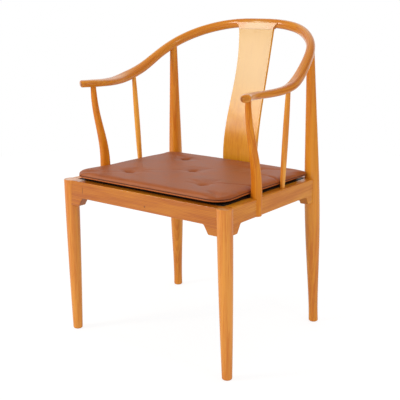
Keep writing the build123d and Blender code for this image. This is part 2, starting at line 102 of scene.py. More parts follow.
def newPiece(name, bm, material):
    data = bpy.data.meshes.new(name)
    bm.to_mesh(data)
    bm.free()
    data.materials.append(material)
    piece = bpy.data.objects.new(name, data)
    bpy.context.scene.collection.objects.link(piece)
    return piece


def shadeSmooth(piece):
    for polygon in piece.data.polygons:
        polygon.use_smooth = True


# Cherry, sawn or turned, stained honey by age under a satin lacquer: fine lengthwise fibre, soft growth rings,
# a few gum flecks, darker end grain, a broad soft reflection from the lacquer, and a painted sheen and painted
# highlights on a few fronts and rims
cherry = {
    "pale": "#e1932a",
    "middle": "#d0781a",
    "deep": "#b4580e",
    "paleMiddleDeep": (0.05, 0.45, 0.95),  # their places on the scale of tones, from 0 to 1
    "endGrain": "#8a4714",
    "fleck": "#6b3212",
    # the pale colour of a painted reflection: the softbox's sheen on the splat and haunch fronts
    "paintedSheenPale": "#d7b678",
    # the pale colour of the painted highlights on the front legs' rims and the arm tip
    "wearAndHighlight": "#e6c090",
    # figure: its size in mm, the range of its pattern that shows, and what that adds to the tone;
    # the rings and the fibre are drawn a little coarse so that they show
    "ring": {"spacing": 3.6, "shows": (0.25, 1.0), "adds": (0.0, 0.26)},
    "streak": {"length": 240.0, "width": 7.0, "detail": 3.0, "shows": (0.34, 0.66), "adds": (0.0, 0.36)},
    "fibre": {"length": 45.0, "width": 0.9, "detail": 3.0, "shows": (0.36, 0.7), "adds": (0.0, 0.22)},
    "cloud": {"length": 300.0, "width": 60.0, "detail": 2.0, "shows": (0.3, 0.7), "adds": (-0.14, 0.16)},
    "wanderPerMetre": (2.2, 9.0, 9.0),  # the grain wanders this often, and this far in metres
    "wander": (0.0, 0.016, 0.016),
    "fleckSpacing": (70.0, 26.0),
    "fleckDraw": (0.8, 0.82),  # cells that draw more than this have a fleck
    "fleckReach": (0.02, 0.06),
    "fleckStrength": 0.7,
    "endsFrom": (0.72, 0.98),  # how squarely a face looks along the grain before it counts as end grain
    "forward": (-0.8, -0.4),  # the same for a face that looks forward
    "relief": 0.05,  # mm
    "ringRelief": 0.3,
    "roughness": (0.4, 0.52),
    "specular": 0.1,
    "coatRoughness": 0.22,
    "coatIor": 1.5,
}

# the centre line of the bow's right half, mm
bow = {"line": ((0, 255.2, 799.1), (64, 256.7, 797.2), (125, 244.7, 788.9), (178.5, 209.7, 772.1),
                (219.1, 161.1, 746.3), (240.5, 102.7, 713.4), (251.9, 45, 680.9), (257.4, -10.7, 662.7),
                (248.1, -65.1, 656.4), (239.6, -119.3, 656.4), (258.0, -191.5, 658.6)),
       "centreY": -20.0, "reach": 1000.0}


def bowAxes(tree, place):  # x runs round the horseshoe from its middle, y across the bow, z above its line
    angles, travels, radii, heights = [], [], [], []
    travel, last = 0.0, Vector(bow["line"][0])
    for x, y, z in bow["line"]:
        here = Vector((x, y, z))
        travel += (here - last).length
        last = here
        angles.append(math.atan2(x, y - bow["centreY"]) / math.pi)
        travels.append(travel / bow["reach"])
        radii.append(math.hypot(x, y - bow["centreY"]) / bow["reach"])
        heights.append(z / bow["reach"])

    at = addNode(tree, "ShaderNodeSeparateXYZ", plain, {0: place.outputs["Object"]}).outputs
    side = addNode(tree, "ShaderNodeMath", magnitude, {0: at[0]})
    behind = addNode(tree, "ShaderNodeMath", subtract, {0: at[1], 1: bow["centreY"] * mm})
    angle = addNode(tree, "ShaderNodeMath", {"operation": "ARCTAN2"}, {0: side, 1: behind})
    share = addNode(tree, "ShaderNodeMath", divide, {0: angle, 1: math.pi})
    sideSquare = addNode(tree, "ShaderNodeMath", multiply, {0: side, 1: side})
    behindSquare = addNode(tree, "ShaderNodeMath", multiply, {0: behind, 1: behind})
    square = addNode(tree, "ShaderNodeMath", {"operation": "ADD"}, {0: sideSquare, 1: behindSquare})
    radius = addNode(tree, "ShaderNodeMath", {"operation": "SQRT"}, {0: square})
    hand = addNode(tree, "ShaderNodeMath", {"operation": "SIGN"}, {0: at[0]})

    found = []
    for values in (travels, radii, heights):  # a curve through what the line has at each angle
        curve = addNode(tree, "ShaderNodeFloatCurve", plain, {"Value": share})
        points = curve.mapping.curves[0].points
        spots = list(zip(angles, values))
        points[0].location = spots[0]
        points[1].location = spots[-1]
        for spot in spots[1:-1]:
            points.new(*spot)
        curve.mapping.update()
        found.append(addNode(tree, "ShaderNodeMath", multiply, {0: curve, 1: bow["reach"] * mm}))

    along = addNode(tree, "ShaderNodeMath", multiply, {0: found[0], 1: hand})
    across = addNode(tree, "ShaderNodeMath", subtract, {0: radius, 1: found[1]})
    above = addNode(tree, "ShaderNodeMath", subtract, {0: at[2], 1: found[2]})
    return addNode(tree, "ShaderNodeCombineXYZ", plain, {0: along, 1: across, 2: above})


def cherryWood(name, board):
    material, tree = newMaterial(name)
    place = addNode(tree, "ShaderNodeTexCoord")
    turn = [math.radians(a) for a in board["turn"]]
    # the board's own axes: x runs along the grain
    if board["bent"]:
        axes = bowAxes(tree, place)
    else:
        axes = addNode(tree, "ShaderNodeMapping", {"vector_type": "POINT"},
                       {"Vector": place.outputs["Object"], "Rotation": turn})
    wander = addNode(tree, "ShaderNodeVectorMath", multiply, {0: axes, 1: cherry["wanderPerMetre"]})
    wanderNoise = addNode(tree, "ShaderNodeTexNoise", plain, {"Vector": wander, "Scale": 1.0, "Detail": 1.0})
    grain = addNode(tree, "ShaderNodeVectorMath", {"operation": "MULTIPLY_ADD"},
                    {0: wanderNoise.outputs["Color"], 1: cherry["wander"], 2: axes})

    ringPlace = addNode(tree, "ShaderNodeVectorMath", {"operation": "ADD"},
                        {0: grain, 1: (0.0, board["pith"][0] * mm, board["pith"][1] * mm)})
    rings = addNode(tree, "ShaderNodeTexWave",
                    {"wave_type": "RINGS", "rings_direction": "X", "wave_profile": "SAW"},
                    {"Vector": ringPlace, "Scale": 2 * math.pi / (20 * cherry["ring"]["spacing"] * mm),
                     "Distortion": 0.6, "Detail": 1.0, "Detail Scale": 0.4})
    patterns = {"ring": rings.outputs["Fac"]}
    for pattern in ("streak", "fibre", "cloud"):
        facts = cherry[pattern]
        along, across = perMetre(facts["length"]), perMetre(facts["width"])
        stretched = addNode(tree, "ShaderNodeVectorMath", multiply, {0: grain, 1: (along, across, across)})
        patterns[pattern] = addNode(tree, "ShaderNodeTexNoise", plain,
                                    {"Vector": stretched, "Scale": 1.0, "Detail": facts["detail"],
                                     "Roughness": 0.55})

    depth = None
    for pattern, source in patterns.items():
        low, high = cherry[pattern]["shows"]
        strength = 1.0 if pattern == "cloud" else board["figure"]
        start, end = (value * strength for value in cherry[pattern]["adds"])
        part = addNode(tree, "ShaderNodeMapRange", eased, {0: source, 1: low, 2: high, 3: start, 4: end})
        if pattern == "fibre":
            fibrePart = part
        depth = part if depth is None else addNode(tree, "ShaderNodeMath", addUpToOne, {0: depth, 1: part})
    depth = addNode(tree, "ShaderNodeMath", addUpToOne, {0: depth, 1: board["shade"]})
    tone = addNode(tree, "ShaderNodeValToRGB", plain, {"Fac": depth})
    ramp = tone.color_ramp.elements
    palePlace, middlePlace, deepPlace = cherry["paleMiddleDeep"]
    ramp[0].position, ramp[0].color = palePlace, paint(cherry["pale"])
    ramp[1].position, ramp[1].color = deepPlace, paint(cherry["deep"])
    ramp.new(middlePlace).color = paint(cherry["middle"])
    for element in ramp:  # no two boards have quite the same colour
        element.color = [*(value * share for value, share in zip(element.color, board["own"])), 1.0]
    colour = tone.outputs["Color"]

    if board["paintedSheenFront"]:  # a painted sheen: the front is painted paler toward its top and where it looks forward, standing in for the softbox's reflection: how far, and the heights between which that comes in
        most, low, high = board["paintedSheenFront"]
        at = addNode(tree, "ShaderNodeSeparateXYZ", plain, {0: place.outputs["Object"]}).outputs
        looks = addNode(tree, "ShaderNodeSeparateXYZ", plain, {0: place.outputs["Normal"]}).outputs
        risen = addNode(tree, "ShaderNodeMapRange", eased, {0: at[2], 1: low * mm, 2: high * mm, 3: 0.0, 4: most})
        forward = addNode(tree, "ShaderNodeMapRange", eased,
                          {0: looks[1], 1: cherry["forward"][0], 2: cherry["forward"][1], 3: 1.0, 4: 0.0})
        share = addNode(tree, "ShaderNodeMath", multiply, {0: risen, 1: forward})
        colour = addNode(tree, "ShaderNodeMix", mixColours,
                         {"Factor": share, 6: colour, 7: paint(cherry["paintedSheenPale"])}).outputs[2]

    # gum flecks: short dark dashes, in a few cells only
    fleckLength, fleckWidth = (perMetre(spacing) for spacing in cherry["fleckSpacing"])
    fleckPlace = addNode(tree, "ShaderNodeVectorMath", multiply, {0: grain, 1: (fleckLength, fleckWidth, fleckWidth)})
    cells = addNode(tree, "ShaderNodeTexVoronoi", {"feature": "F1"}, {"Vector": fleckPlace, "Scale": 1.0}).outputs
    draw = addNode(tree, "ShaderNodeSeparateColor", plain, {"Color": cells["Color"]})
    chosen = addNode(tree, "ShaderNodeMapRange", eased,
                     {0: draw, 1: cherry["fleckDraw"][0], 2: cherry["fleckDraw"][1], 3: 0.0, 4: 1.0})
    spot = addNode(tree, "ShaderNodeMapRange", eased,
                   {0: cells["Distance"], 1: cherry["fleckReach"][0], 2: cherry["fleckReach"][1],
                    3: cherry["fleckStrength"], 4: 0.0})
    fleck = addNode(tree, "ShaderNodeMath", multiply, {0: spot, 1: chosen})
    colour = addNode(tree, "ShaderNodeMix", mixColours,
                     {"Factor": fleck, 6: colour, 7: paint(cherry["fleck"])}).outputs[2]

    for centre, reach, strength, shown in (marks[mark] for mark in board["marks"]):
        offset = addNode(tree, "ShaderNodeVectorMath", subtract,
                         {0: place.outputs["Object"], 1: [value * mm for value in centre]})
        scaled = addNode(tree, "ShaderNodeVectorMath", divide, {0: offset, 1: [value * mm for value in reach]})
        away = addNode(tree, "ShaderNodeVectorMath", length, {0: scaled}).outputs["Value"]
        share = addNode(tree, "ShaderNodeMapRange", eased, {0: away, 1: 0.3, 2: 1.0, 3: strength, 4: 0.0})
        colour = addNode(tree, "ShaderNodeMix", mixColours,
                         {"Factor": share, 6: colour, 7: paint(cherry[shown])}).outputs[2]

    # end grain drinks more finish: faces that look along the grain are darker
    facing = addNode(tree, "ShaderNodeMapping", {"vector_type": "VECTOR"},
                     {"Vector": place.outputs["Normal"], "Rotation": turn})
    facingAlong = addNode(tree, "ShaderNodeSeparateXYZ", plain, {0: facing})
    squarely = addNode(tree, "ShaderNodeMath", magnitude, {0: facingAlong})
    endShare = addNode(tree, "ShaderNodeMapRange", eased,
                       {0: squarely, 1: cherry["endsFrom"][0], 2: cherry["endsFrom"][1], 3: 0.0, 4: board["ends"]})
    if board["endsBefore"] is not None:  # only in front of this y, mm
        limit = board["endsBefore"]
        at = addNode(tree, "ShaderNodeSeparateXYZ", plain, {0: place.outputs["Object"]}).outputs
        atTip = addNode(tree, "ShaderNodeMapRange", eased,
                        {0: at[1], 1: (limit - 4) * mm, 2: limit * mm, 3: 1.0, 4: 0.0})
        endShare = addNode(tree, "ShaderNodeMath", multiply, {0: endShare, 1: atTip})
    colour = addNode(tree, "ShaderNodeMix", mixColours,
                     {"Factor": endShare, 6: colour, 7: paint(cherry["endGrain"])}).outputs[2]

    ringRelief = addNode(tree, "ShaderNodeMath", multiply, {0: patterns["ring"], 1: cherry["ringRelief"]})
    relief = addNode(tree, "ShaderNodeMath", addUpToOne, {0: fibrePart, 1: ringRelief})
    bump = addNode(tree, "ShaderNodeBump", plain,
                   {"Height": relief, "Strength": 0.35, "Distance": cherry["relief"] * mm})
    smoothest, roughest = cherry["roughness"]
    gloss = addNode(tree, "ShaderNodeMapRange", eased,
                    {0: patterns["streak"], 1: 0.3, 2: 0.7, 3: smoothest, 4: roughest})
    # the lacquer lies level over the grain
    shader = addNode(tree, "ShaderNodeBsdfPrincipled", plain,
                     {"Base Color": colour, "Roughness": gloss, "Normal": bump,
                      "Specular IOR Level": cherry["specular"], "Coat Weight": board["coat"],
                      "Coat Roughness": cherry["coatRoughness"], "Coat IOR": cherry["coatIor"]})
    addNode(tree, "ShaderNodeOutputMaterial", plain, {"Surface": shader})
    return material


# knots, gum streaks, a glue line, painted highlights on rims and a painted sheen on the haunch: centre and reach
# along each axis, mm, then strength and colour
marks = {
    "splatJoint": ((0.0, 240.0, 792.0), (200.0, 40.0, 1.3), 0.4, "fleck"),  # the glue line under the haunch
    # painted reflection: the softbox's sheen on the haunch front, painted pale
    "haunchSheen": ((4.0, 238.0, 800.0), (84.0, 18.0, 22.0), 0.65, "paintedSheenPale"),
    # painted highlights: pale lines where the rims of the front legs' tops and the arm tip catch the light
    "leftLegRimHighlight": ((-244.0, -259.0, 419.6), (22.0, 12.0, 1.6), 0.55, "wearAndHighlight"),
    "rightLegRimHighlight": ((244.0, -259.0, 419.6), (22.0, 12.0, 1.6), 0.55, "wearAndHighlight"),
    "armTipHighlight": ((255.0, -198.0, 660.0), (8.0, 6.0, 1.6), 0.6, "wearAndHighlight"),
    "railStreak": ((-191.8, -262.5, 398.5), (1.7, 3.0, 14.0), 0.75, "fleck"),
    "railKnot": ((18.0, -262.5, 389.9), (3.4, 3.0, 3.0), 0.85, "fleck"),
}

# turn brings the grain to x, in degrees; pith is the middle of the rings, mm off the grain line; shade darkens the
# tone; own multiplies the colours; coat is the lacquer; ends is how far end grain darkens
grainUp, grainAcross, grainBack = (0, 90, 0), (0, 0, 0), (0, 0, -90)
anyBoard = {"figure": 1.0, "shade": 0.0, "own": (1.0, 1.0, 1.0), "coat": 1.0, "ends": 0.75, "paintedSheenFront": None,
            "marks": (), "bent": False, "endsBefore": None}
turned = {**anyBoard, "turn": grainUp, "pith": (48, -75), "figure": 0.9, "shade": -0.12}
carved = {**anyBoard, "pith": (60, -45), "figure": 0.9, "bent": True}
boards = {
    "turnedCherryLegLacquered": {
        **turned, "on": ("front_leg_left", "front_leg_right"),
        "own": (1.13, 1.13, 1.7), "ends": 0.15, "marks": ("leftLegRimHighlight", "rightLegRimHighlight")},
    "turnedCherryPostLacquered": {
        **turned, "on": ("rear_leg_left", "rear_leg_right"),
        "own": (1.07, 1.03, 0.8), "ends": 0.3},
    "turnedCherryStileLacquered": {
        **turned, "on": ("arm_stile_left", "arm_stile_right"),
        "own": (1.03, 0.94, 0.5), "coat": 0.5},
    "turnedCherrySpindleLacquered": {
        **turned, "on": ("arm_spindle_left", "arm_spindle_right"),
        "own": (1.2, 1.38, 2.0)},
    "sawnCherryRailLacquered": {
        **anyBoard, "on": ("front_rail", "rear_rail"), "turn": grainAcross, "pith": (140, 60), "shade": 0.12,
        "own": (0.9, 0.88, 0.6), "marks": ("railStreak", "railKnot")},
    "sawnCherrySideRailLacquered": {
        **anyBoard, "on": ("side_rail_left", "side_rail_right"), "turn": grainBack, "pith": (150, 80),
        "figure": 0.75, "shade": 0.08, "own": (1.02, 1.05, 0.7), "coat": 0.6},
    "carvedCherryCrestLacquered": {
        **carved, "on": ("crest_rail",), "turn": grainAcross,
        "marks": ("haunchSheen", "splatJoint"), "endsBefore": -400},
    "carvedCherryArmLacquered": {
        **carved, "on": ("arm_left", "arm_right"), "turn": grainBack,
        "marks": ("armTipHighlight",), "endsBefore": -184},
    # the splat's front takes the painted sheen, paler toward its top
    "bentCherrySplatLacquered": {
        **anyBoard, "on": ("back_splat",), "turn": grainUp, "pith": (30, -320), "figure": 0.6, "shade": -0.1,
        "own": (1.15, 1.3, 1.0), "coat": 0.7, "paintedSheenFront": (0.7, 500, 670), "marks": ("splatJoint",)},
}
for name, board in boards.items():
    wood = cherryWood(name, board)
    for node in board["on"]:
        dress(node, wood)
print("cherry on", sum(len(board["on"]) for board in boards.values()), "pieces")

# Plywood panel: rotary-cut birch faces painted dark, as painted shade under the cushion, plies showing at its edges;
# sizes in mm
plywood = {"face": "#54402f", "faceDark": "#3c2c20", "glue": "#241a13", "ply": 1.5,
           "figureLength": 160, "figureWidth": 14, "roughness": 0.6}


def birchPlywood():
    material, tree = newMaterial("birchPlywoodPaintedShade")
    place = addNode(tree, "ShaderNodeTexCoord")
    along, across = perMetre(plywood["figureLength"]), perMetre(plywood["figureWidth"])
    figure = addNode(tree, "ShaderNodeVectorMath", multiply, {0: place.outputs["Object"], 1: (along, across, across)})
    clouds = addNode(tree, "ShaderNodeTexNoise", plain,
                     {"Vector": figure, "Scale": 1.0, "Detail": 4.0, "Distortion": 0.6})
    face = addNode(tree, "ShaderNodeMix", mixColours,
                   {"Factor": clouds, 6: paint(plywood["face"]), 7: paint(plywood["faceDark"])})
    plies = addNode(tree, "ShaderNodeTexWave", {"wave_type": "BANDS", "bands_direction": "Z"},
                    {"Vector": place.outputs["Object"], "Scale": 2 * math.pi / (20 * 2 * plywood["ply"] * mm)})
    normal = addNode(tree, "ShaderNodeSeparateXYZ", plain, {0: place.outputs["Normal"]})
    level = addNode(tree, "ShaderNodeMath", magnitude, {0: normal.outputs[2]})
    isEdge = addNode(tree, "ShaderNodeMapRange", plain, {0: level, 1: 0.4, 2: 0.6, 3: 0.7, 4: 0.0})
    band = addNode(tree, "ShaderNodeMath", multiply, {0: plies.outputs["Fac"], 1: isEdge})
    colour = addNode(tree, "ShaderNodeMix", mixColours,
                     {"Factor": band, 6: face.outputs[2], 7: paint(plywood["glue"])})
    bump = addNode(tree, "ShaderNodeBump", plain, {"Height": clouds, "Strength": 0.3, "Distance": 0.1 * mm})
    shader = addNode(tree, "ShaderNodeBsdfPrincipled", plain,
                     {"Base Color": colour.outputs[2], "Roughness": plywood["roughness"], "Normal": bump})
    addNode(tree, "ShaderNodeOutputMaterial", plain, {"Surface": shader})
    return material


# Beech for ledges and dowels, sawn or turned: pale pinkish, with short dark ray flecks; sizes in mm
beech = {"wood": "#cfa67c", "shadow": "#bb8d62", "fleck": "#96673f", "grainLength": 120, "grainWidth": 5,
         "rayLength": 3.0, "rayWidth": 0.7, "roughness": 0.55}


def beechWood(name, turn):
    material, tree = newMaterial(name)
    place = addNode(tree, "ShaderNodeTexCoord")
    board = addNode(tree, "ShaderNodeMapping", plain,
                    {"Vector": place.outputs["Object"], "Rotation": [math.radians(a) for a in turn]})
    along, across = perMetre(beech["grainLength"]), perMetre(beech["grainWidth"])
    grainPlace = addNode(tree, "ShaderNodeVectorMath", multiply, {0: board, 1: (along, across, across)})
    streaks = addNode(tree, "ShaderNodeTexNoise", plain, {"Vector": grainPlace, "Scale": 1.0, "Detail": 3.0})
    wood = addNode(tree, "ShaderNodeMix", mixColours,
                   {"Factor": streaks, 6: paint(beech["wood"]), 7: paint(beech["shadow"])})
    along, across = perMetre(beech["rayLength"]), perMetre(beech["rayWidth"])
    rayPlace = addNode(tree, "ShaderNodeVectorMath", multiply, {0: board, 1: (along, across, across)})
    rays = addNode(tree, "ShaderNodeTexVoronoi", plain, {"Vector": rayPlace, "Scale": 1.0})
    rayShare = addNode(tree, "ShaderNodeMapRange", plain,
                       {0: rays.outputs["Distance"], 1: 0.1, 2: 0.3, 3: 0.55, 4: 0.0})
    colour = addNode(tree, "ShaderNodeMix", mixColours,
                     {"Factor": rayShare, 6: wood.outputs[2], 7: paint(beech["fleck"])})
    bump = addNode(tree, "ShaderNodeBump", plain, {"Height": streaks, "Strength": 0.3, "Distance": 0.1 * mm})
    shader = addNode(tree, "ShaderNodeBsdfPrincipled", plain,
                     {"Base Color": colour.outputs[2], "Roughness": beech["roughness"], "Normal": bump})
    addNode(tree, "ShaderNodeOutputMaterial", plain, {"Surface": shader})
    return material


# Zinc-plated steel screws, turned: a dull grey shine with fine tool marks
screws = {"metal": "#b9b6ac", "toolMark": 1.0, "roughness": (0.28, 0.5)}  # toolMark in mm, drawn coarse to show


def zincSteel():
    material, tree = newMaterial("zincPlatedSteelTurned")
    place = addNode(tree, "ShaderNodeTexCoord")
    toolMarks = addNode(tree, "ShaderNodeTexNoise", plain,
                        {"Vector": place.outputs["Object"], "Scale": perMetre(screws["toolMark"]), "Detail": 2.0})
    smoothest, roughest = screws["roughness"]
    rough = addNode(tree, "ShaderNodeMapRange", plain, {0: toolMarks, 3: smoothest, 4: roughest})
    bump = addNode(tree, "ShaderNodeBump", plain, {"Height": toolMarks, "Strength": 0.2, "Distance": 0.05 * mm})
    shader = addNode(tree, "ShaderNodeBsdfPrincipled", plain,
                     {"Base Color": paint(screws["metal"]), "Metallic": 1.0, "Roughness": rough, "Normal": bump})
    addNode(tree, "ShaderNodeOutputMaterial", plain, {"Surface": shader})
    return material


beechAcross = beechWood("beechLedgeSawn", grainAcross)
beechBack = beechWood("beechSideLedgeSawn", grainBack)
steel = zincSteel()
for name, material in (("seat_panel", birchPlywood()), ("front_ledge", beechAcross), ("rear_ledge", beechAcross),
                       ("side_ledge_left", beechBack), ("side_ledge_right", beechBack),
                       ("bow_dowels", beechWood("beechDowelTurned", grainBack)),
                       ("stile_screws", steel), ("ledge_screws", steel)):
    dress(name, material)
print("panel, ledges, dowels and screws finished")

# the seat's slope, mm and degrees, as in the frame, and the buttons of the cushion on it, mm
seat = {"height": 420.1, "frontY": -249.7, "fall": 1.0,
        "tufts": ((-120.0, -163.3), (120.0, -163.3), (0.0, -46.3), (-119.0, 69.7), (119.0, 69.7))}
slope = math.tan(math.radians(seat["fall"]))


def seatTop(y):  # height of the seat at y, both in metres
    return seat["height"] * mm - (y - seat["frontY"] * mm) * slope


# Vegetable-tanned cognac leather: fine pebbled grain, soft mottling, a dull waxed sheen, painted shade in the groove
# above the piping and in the hollows round the buttons
leather = {
    "colour": "#a8561d",
    # in the leather this is the paler, worn tone of the mottle
    "wearAndHighlight": "#b56224",
    "dark": "#8e4415",
    "darkColourWorn": (0.1, 0.5, 0.95),  # their places on the scale of tones, from 0 to 1
    # painted shade in the groove above the piping
    "seamShade": "#2a1208",
    "seamHeights": (11.6, 13.3, 15.0),  # above the seat, mm: the groove over the piping
    "dimpleHeight": 18.0,
    "dimpleReach": (5.5, 12.5),
    "dimpleShadeShare": 0.9,
    "pebble": 1.3,  # mm, a little coarse so that it shows
    "pores": (0.35, 0.75),  # how far from a pebble's middle its pores start and end to darken
    "poreShare": 0.35,
    "mottle": 45.0,
    "crease": 11.0,
    "relief": 0.25,
    "roughness": (0.4, 0.6),
    "specular": 0.5,
}


def cognacLeather(name, own=(1.0, 1.0, 1.0)):
    material, tree = newMaterial(name)
    place = addNode(tree, "ShaderNodeTexCoord").outputs["Object"]
    mottle = addNode(tree, "ShaderNodeTexNoise", plain,
                     {"Vector": place, "Scale": perMetre(leather["mottle"]), "Detail": 4.0, "Roughness": 0.6,
                      "Distortion": 0.4})
    tone = addNode(tree, "ShaderNodeValToRGB", plain, {"Fac": mottle})
    ramp = tone.color_ramp.elements
    darkPlace, colourPlace, wornPlace = leather["darkColourWorn"]
    ramp[0].position, ramp[0].color = darkPlace, paint(leather["dark"])
    ramp[1].position, ramp[1].color = wornPlace, paint(leather["wearAndHighlight"])
    ramp.new(colourPlace).color = paint(leather["colour"])
    for element in ramp:
        element.color = [*(value * share for value, share in zip(element.color, own)), 1.0]
    pebbles = addNode(tree, "ShaderNodeTexVoronoi", {"feature": "SMOOTH_F1"},
                      {"Vector": place, "Scale": perMetre(leather["pebble"]), "Smoothness": 0.6})
    creases = addNode(tree, "ShaderNodeTexNoise", plain,
                      {"Vector": place, "Scale": perMetre(leather["crease"]), "Detail": 3.0})
    low, high = leather["pores"]
    pores = addNode(tree, "ShaderNodeMapRange", plain,
                    {0: pebbles.outputs["Distance"], 1: low, 2: high, 3: 0.0, 4: leather["poreShare"]})
    colour = addNode(tree, "ShaderNodeMix", mixColours,
                     {"Factor": pores, 6: tone.outputs["Color"], 7: paint(leather["dark"])}).outputs[2]

    # the groove above the piping is painted dark, painted shade in the groove; heights are taken from the sloping
    # seat
    level = addNode(tree, "ShaderNodeVectorMath", {"operation": "DOT_PRODUCT"},
                    {0: place, 1: (0.0, slope, 1.0)}).outputs["Value"]
    low, middle, high = [(seatTop(0) / mm + rise) * mm for rise in leather["seamHeights"]]
    rising = addNode(tree, "ShaderNodeMapRange", plain, {0: level, 1: low, 2: middle, 3: 0.0, 4: 1.0})
    falling = addNode(tree, "ShaderNodeMapRange", plain, {0: level, 1: middle, 2: high, 3: 1.0, 4: 0.0})
    seamShadeShare = addNode(tree, "ShaderNodeMath", least, {0: rising, 1: falling})
    colour = addNode(tree, "ShaderNodeMix", mixColours,
                     {"Factor": seamShadeShare, 6: colour, 7: paint(leather["seamShade"])}).outputs[2]

    # the pinched hollows round the buttons are painted darker, painted shade where the top's sheen is missing
    nearest = None
    for tx, ty in seat["tufts"]:
        hollow = (tx * mm, ty * mm, seatTop(ty * mm) + leather["dimpleHeight"] * mm)
        offset = addNode(tree, "ShaderNodeVectorMath", subtract, {0: place, 1: hollow})
        away = addNode(tree, "ShaderNodeVectorMath", length, {0: offset}).outputs["Value"]
        nearest = away if nearest is None else addNode(tree, "ShaderNodeMath", least, {0: nearest, 1: away})
    inner, outer = [reach * mm for reach in leather["dimpleReach"]]
    dimpleShade = addNode(tree, "ShaderNodeMapRange", eased,
                     {0: nearest, 1: inner, 2: outer, 3: leather["dimpleShadeShare"], 4: 0.0})
    colour = addNode(tree, "ShaderNodeMix", mixColours,
                     {"Factor": dimpleShade, 6: colour, 7: paint(leather["dark"])}).outputs[2]

    height = addNode(tree, "ShaderNodeMath", subtract, {0: creases, 1: pebbles.outputs["Distance"]})
    bump = addNode(tree, "ShaderNodeBump", plain,
                   {"Height": height, "Strength": 0.45, "Distance": leather["relief"] * mm})
    smoothest, roughest = leather["roughness"]
    rough = addNode(tree, "ShaderNodeMapRange", plain, {0: mottle, 3: smoothest, 4: roughest})
    shader = addNode(tree, "ShaderNodeBsdfPrincipled", plain,
                     {"Base Color": colour, "Roughness": rough, "Normal": bump,
                      "Specular IOR Level": leather["specular"]})
    addNode(tree, "ShaderNodeOutputMaterial", plain, {"Surface": shader})
    return material


# Black cotton lining over the stiff base: plain weave, matt; sizes in mm, its threads drawn coarse so that they show
lining = {"thread": "#1c1815", "gap": "#0c0a09", "spacing": 1.4, "relief": 0.2, "roughness": 0.85, "specular": 0.2}


def cottonLining():
    material, tree = newMaterial("blackCottonLiningWoven")
    place = addNode(tree, "ShaderNodeTexCoord").outputs["Object"]
    waves = [addNode(tree, "ShaderNodeTexWave", {"bands_direction": axis},
                     {"Vector": place, "Scale": 2 * math.pi / (20 * lining["spacing"] * mm)}).outputs["Fac"]
             for axis in ("X", "Y")]
    weave = addNode(tree, "ShaderNodeMath", multiply, {0: waves[0], 1: waves[1]})
    colour = addNode(tree, "ShaderNodeMix", mixColours,
                     {"Factor": weave, 6: paint(lining["gap"]), 7: paint(lining["thread"])})
    bump = addNode(tree, "ShaderNodeBump", plain,
                   {"Height": weave, "Strength": 0.5, "Distance": lining["relief"] * mm})
    shader = addNode(tree, "ShaderNodeBsdfPrincipled", plain,
                     {"Base Color": colour.outputs[2], "Roughness": lining["roughness"], "Normal": bump,
                      "Specular IOR Level": lining["specular"]})
    addNode(tree, "ShaderNodeOutputMaterial", plain, {"Surface": shader})
    return material


cognac = cognacLeather("cognacLeatherTanned")
# the piping's copy of the leather is painted lighter, a painted highlight along the cord
pipingLeatherLit = cognacLeather("cognacLeatherPipingHighlit", (1.3, 1.3, 1.2))
blackLining = cottonLining()
print("leather and lining mixed")

# the loose cushion's cover and filling; lengths in mm
cushion = {
    "modelBottom": 8.0,  # heights above the seat
    "modelTop": 24.0,
    "bottom": 8.6,
    "startTop": 22.0,
    "spread": 0.7,
    "rearFlare": 5.0,  # how far the rear edge is drawn out, from where on and over what length
    "flareFrom": 50.0,
    "flareLength": 80.0,
    "voxel": 4.5,
    "pressure": 4.0,
    "mass": 0.3,
    "stretch": 15,
    "bending": 2.0,
    "lastFrame": 20,
    "cap": 3.0,
    "heldRim": 1.5,
    "sideTop": 12.0,  # the top of the cover's sides, and where its upper face begins
    "topFrom": 13.0,
    "tuftFloor": 15.5,
    "tuftHole": 9.0,
    "tuftHold": 6.5,  # radius that the button holds down
    "tuftBlend": 9.5,
    "creaseDepth": 1.8,
    "creaseLength": 10.0,
    "creaseWidth": 2.8,
    "creaseSwing": 0.25,
    "creaseReach": 60.0,
    "puckers": 6,  # short folds round each button, their depth, place and width
    "puckerDepth": 0.35,
    "puckerAt": 11.0,
    "puckerWidth": 6.0,
    # wrinkles: their ends on the seat, then their depth and half-width
    "wrinkles": (((130, -140), (185, -119), 1.5, 3.5), ((185, -119), (224, -107), 1.8, 3.5),
                 ((168, 16), (200, 11), 1.4, 4.0), ((200, 11), (236, -3), 3.0, 4.5)),
}


def tuftDistance(x, y):  # metres to the nearest tuft
    return min(math.hypot(x - tx * mm, y - ty * mm) for tx, ty in seat["tufts"])


def wrinkleDepth(x, y):  # mm
    depth = 0.0
    for (x0, y0), (x1, y1), deepest, width in cushion["wrinkles"]:
        run = math.hypot(x1 - x0, y1 - y0)
        share = ((x - x0) * (x1 - x0) + (y - y0) * (y1 - y0)) / run ** 2
        over = max(0.0, -share, share - 1) * run
        aside = math.hypot(x - x0 - share * (x1 - x0), y - y0 - share * (y1 - y0))
        depth = max(depth, deepest * math.exp(-(aside / width) ** 2 - (over / (2 * width)) ** 2))
    return depth


